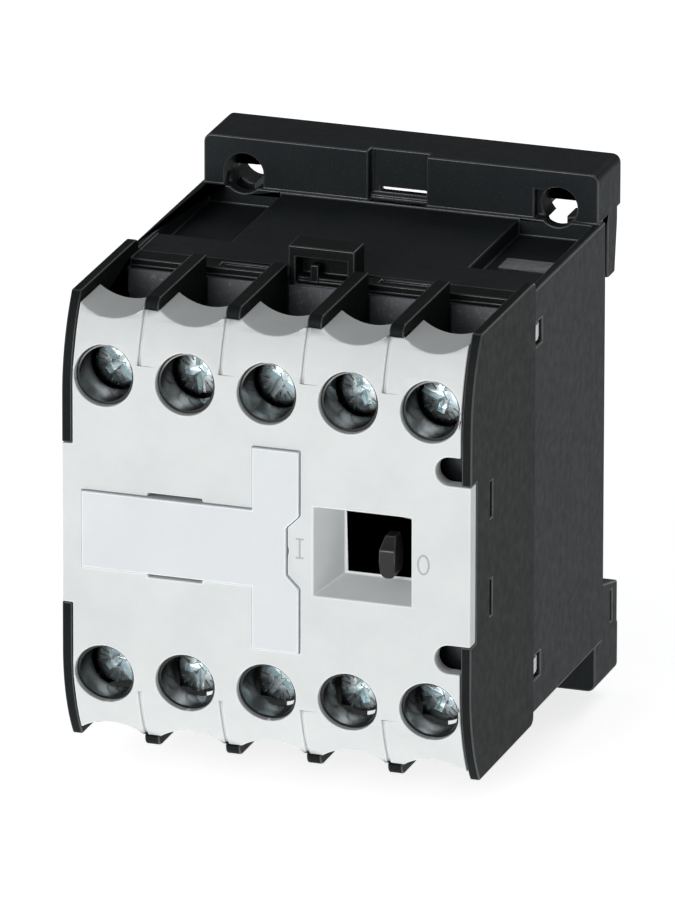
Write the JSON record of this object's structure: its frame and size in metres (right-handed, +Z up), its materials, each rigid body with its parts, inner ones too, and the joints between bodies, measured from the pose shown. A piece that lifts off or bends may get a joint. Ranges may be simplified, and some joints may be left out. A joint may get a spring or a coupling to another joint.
{
  "type": "din rail contactor",
  "caption": "Compact black box with a light grey front, rows of screw terminals above and below, a marking plate, a sliding position indicator and a rear recess for a mounting rail.",
  "frame": {"origin": "middle of the rail seat, on the rear face of the base between the two fixing flanges", "axes": "+X to the right seen from the front, -Y out of the front cover, +Z up towards the upper flange"},
  "size_m": [0.045, 0.0524, 0.058],
  "materials": {
    "cover_grey": "fine satin moulding",
    "marker_white": "smooth satin",
    "black_plastic": "fine spark-eroded texture",
    "carrier_plastic": "matte moulding",
    "bobbin_plastic": "matte moulding",
    "label_silver": "printed film",
    "zinc_steel": "bright zinc plating",
    "contact_brass": "stamped",
    "contact_silver": "silver alloy",
    "spring_steel": "drawn wire",
    "lamination_steel": "stacked laminations",
    "copper": "enamelled wire",
    "rubber_black": "matte"
  },
  "bodies": {
    "housing": {"front_cover": "cover_grey", "marker_plate": "marker_white", "chamber_cover": "black_plastic", "contact_housing": "black_plastic", "base_housing": "black_plastic", "rating_label": "label_silver", "upper_contact_strips": "contact_brass", "lower_contact_strips": "contact_brass", "upper_contact_tips": "contact_silver", "lower_contact_tips": "contact_silver", "coil_terminal_a1": "contact_brass", "coil_terminal_a2": "contact_brass", "magnet_core": "lamination_steel", "core_rivets": "spring_steel", "shading_rings": "copper", "core_pads": "rubber_black", "coil_bobbin": "bobbin_plastic", "coil_winding": "copper", "coil_pins": "spring_steel", "return_spring_upper": "spring_steel", "return_spring_lower": "spring_steel", "latch_spring": "spring_steel"},
    "carrier": {"contact_carrier": "carrier_plastic", "armature": "lamination_steel", "armature_pin": "spring_steel", "contact_spring_1": "spring_steel", "contact_spring_2": "spring_steel", "contact_spring_3": "spring_steel", "contact_spring_4": "spring_steel"},
    "latch": {"rail_latch": "black_plastic"},
    "bridge_1": {"contact_bridge_1": "contact_brass"},
    "bridge_2": {"contact_bridge_2": "contact_brass"},
    "bridge_3": {"contact_bridge_3": "contact_brass"},
    "bridge_4": {"contact_bridge_4": "contact_brass"},
    "terminal_1": {"terminal_screw_1": "zinc_steel", "clamp_washer_1": "zinc_steel"},
    "terminal_2": {"terminal_screw_2": "zinc_steel", "clamp_washer_2": "zinc_steel"},
    "terminal_3": {"terminal_screw_3": "zinc_steel", "clamp_washer_3": "zinc_steel"},
    "terminal_4": {"terminal_screw_4": "zinc_steel", "clamp_washer_4": "zinc_steel"},
    "terminal_5": {"terminal_screw_5": "zinc_steel", "clamp_washer_5": "zinc_steel"},
    "terminal_6": {"terminal_screw_6": "zinc_steel", "clamp_washer_6": "zinc_steel"},
    "terminal_7": {"terminal_screw_7": "zinc_steel", "clamp_washer_7": "zinc_steel"},
    "terminal_8": {"terminal_screw_8": "zinc_steel", "clamp_washer_8": "zinc_steel"},
    "terminal_9": {"terminal_screw_9": "zinc_steel", "clamp_washer_9": "zinc_steel"},
    "terminal_10": {"terminal_screw_10": "zinc_steel", "clamp_washer_10": "zinc_steel"}
  },
  "joints": [
    {"name": "carrier_slide", "type": "slide", "parent": "housing", "child": "carrier", "axis": [-1, 0, 0], "range_m": [0, 0.0028], "stiffness_N_per_m": 700, "springref_m": -0.004, "deforming": ["return_spring_upper", "return_spring_lower"]},
    {"name": "latch_slide", "type": "slide", "parent": "housing", "child": "latch", "axis": [0, 0, -1], "range_m": [0, 0.002], "stiffness_N_per_m": 2000, "springref_m": -0.003, "deforming": ["latch_spring"]},
    {"name": "bridge_1_slide", "type": "slide", "parent": "carrier", "child": "bridge_1", "axis": [1, 0, 0], "range_m": [0, 0.00083], "stiffness_N_per_m": 400, "springref_m": -0.001, "deforming": ["contact_spring_1"]},
    {"name": "bridge_2_slide", "type": "slide", "parent": "carrier", "child": "bridge_2", "axis": [1, 0, 0], "range_m": [0, 0.00083], "stiffness_N_per_m": 400, "springref_m": -0.001, "deforming": ["contact_spring_2"]},
    {"name": "bridge_3_slide", "type": "slide", "parent": "carrier", "child": "bridge_3", "axis": [1, 0, 0], "range_m": [0, 0.00083], "stiffness_N_per_m": 400, "springref_m": -0.001, "deforming": ["contact_spring_3"]},
    {"name": "bridge_4_slide", "type": "slide", "parent": "carrier", "child": "bridge_4", "axis": [1, 0, 0], "range_m": [0, 0.00083], "stiffness_N_per_m": 400, "springref_m": -0.001, "deforming": ["contact_spring_4"]},
    {"name": "terminal_1_slide", "type": "slide", "parent": "housing", "child": "terminal_1", "axis": [0, 1, 0], "range_m": [0, 0.002]},
    {"name": "terminal_2_slide", "type": "slide", "parent": "housing", "child": "terminal_2", "axis": [0, 1, 0], "range_m": [0, 0.002]},
    {"name": "terminal_3_slide", "type": "slide", "parent": "housing", "child": "terminal_3", "axis": [0, 1, 0], "range_m": [0, 0.002]},
    {"name": "terminal_4_slide", "type": "slide", "parent": "housing", "child": "terminal_4", "axis": [0, 1, 0], "range_m": [0, 0.002]},
    {"name": "terminal_5_slide", "type": "slide", "parent": "housing", "child": "terminal_5", "axis": [0, 1, 0], "range_m": [0, 0.002]},
    {"name": "terminal_6_slide", "type": "slide", "parent": "housing", "child": "terminal_6", "axis": [0, 1, 0], "range_m": [0, 0.002]},
    {"name": "terminal_7_slide", "type": "slide", "parent": "housing", "child": "terminal_7", "axis": [0, 1, 0], "range_m": [0, 0.002]},
    {"name": "terminal_8_slide", "type": "slide", "parent": "housing", "child": "terminal_8", "axis": [0, 1, 0], "range_m": [0, 0.002]},
    {"name": "terminal_9_slide", "type": "slide", "parent": "housing", "child": "terminal_9", "axis": [0, 1, 0], "range_m": [0, 0.002]},
    {"name": "terminal_10_slide", "type": "slide", "parent": "housing", "child": "terminal_10", "axis": [0, 1, 0], "range_m": [0, 0.002]}
  ],
  "couplings": [
    {"joint": "bridge_1_slide", "follows": "carrier_slide", "ratio": 0.29286},
    {"joint": "bridge_2_slide", "follows": "carrier_slide", "ratio": 0.29286},
    {"joint": "bridge_3_slide", "follows": "carrier_slide", "ratio": 0.29286},
    {"joint": "bridge_4_slide", "follows": "carrier_slide", "ratio": 0.29286}
  ]
}
